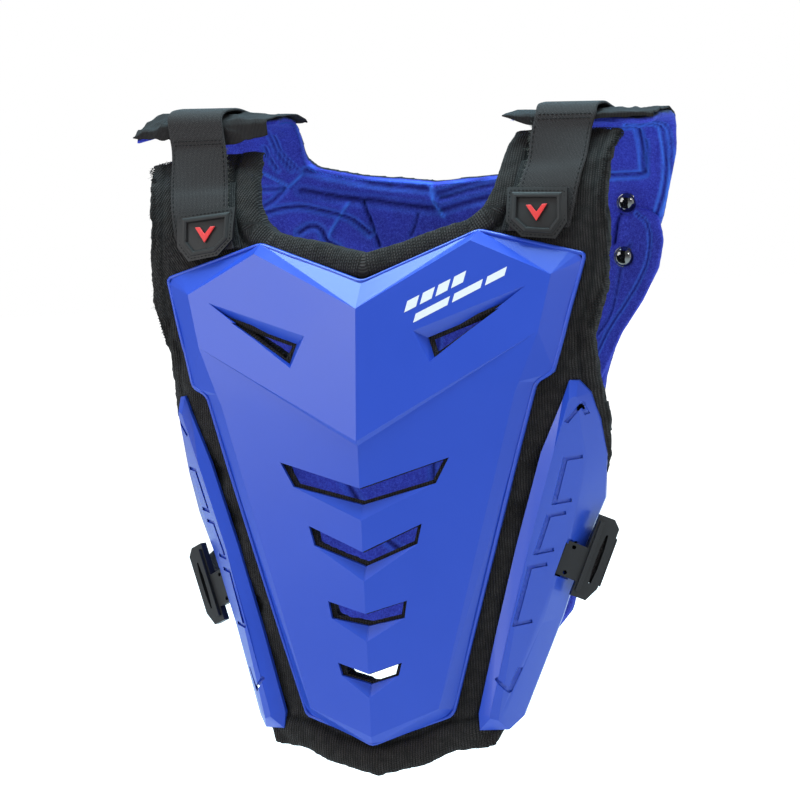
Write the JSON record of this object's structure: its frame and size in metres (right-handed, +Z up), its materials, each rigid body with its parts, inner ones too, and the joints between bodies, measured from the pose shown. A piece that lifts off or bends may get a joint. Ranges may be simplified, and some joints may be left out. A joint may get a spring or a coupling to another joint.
{
  "type": "roost deflector",
  "caption": "Moulded chest and back guard worn over the shoulders, with a ridged vented chest plate, rib wings, webbing shoulder straps, padded liners and a plate behind.",
  "frame": {"origin": "middle of the shoulder line, where the two shoulder straps rest on the wearer", "axes": "+Z up, the chest faces -Y, +X towards the viewer's right when seen from the front"},
  "size_m": [0.3855, 0.263, 0.4616],
  "materials": {
    "shell_plastic": "satin injection-moulded blue plastic",
    "knit_padding": "matte black ribbed knit over foam",
    "fleece_padding": "brushed blue fleece over foam",
    "webbing": "matte charcoal woven webbing",
    "hook_tape": "matte black hook tape",
    "patch_rubber": "moulded black rubber, soft sheen",
    "emblem_rubber": "moulded red rubber",
    "clip_plastic": "moulded black plastic",
    "rivet_plastic": "polished black plastic"
  },
  "bodies": {
    "root": {"front_shell": "shell_plastic", "wing_left": "shell_plastic", "wing_right": "shell_plastic", "back_shell": "shell_plastic", "front_liner": "knit_padding", "back_liner": "fleece_padding", "flap_left": "fleece_padding", "flap_right": "fleece_padding", "shoulder_strap_left": "webbing", "shoulder_strap_right": "webbing", "side_strap_left": "webbing", "side_strap_right": "webbing", "hook_tape_left": "hook_tape", "hook_tape_right": "hook_tape", "patch_left": "patch_rubber", "patch_right": "patch_rubber", "emblem_left": "emblem_rubber", "emblem_right": "emblem_rubber", "clip_left": "clip_plastic", "clip_right": "clip_plastic", "rivet_left_upper": "rivet_plastic", "rivet_left_lower": "rivet_plastic", "rivet_right_upper": "rivet_plastic", "rivet_right_lower": "rivet_plastic"}
  },
  "joints": []
}
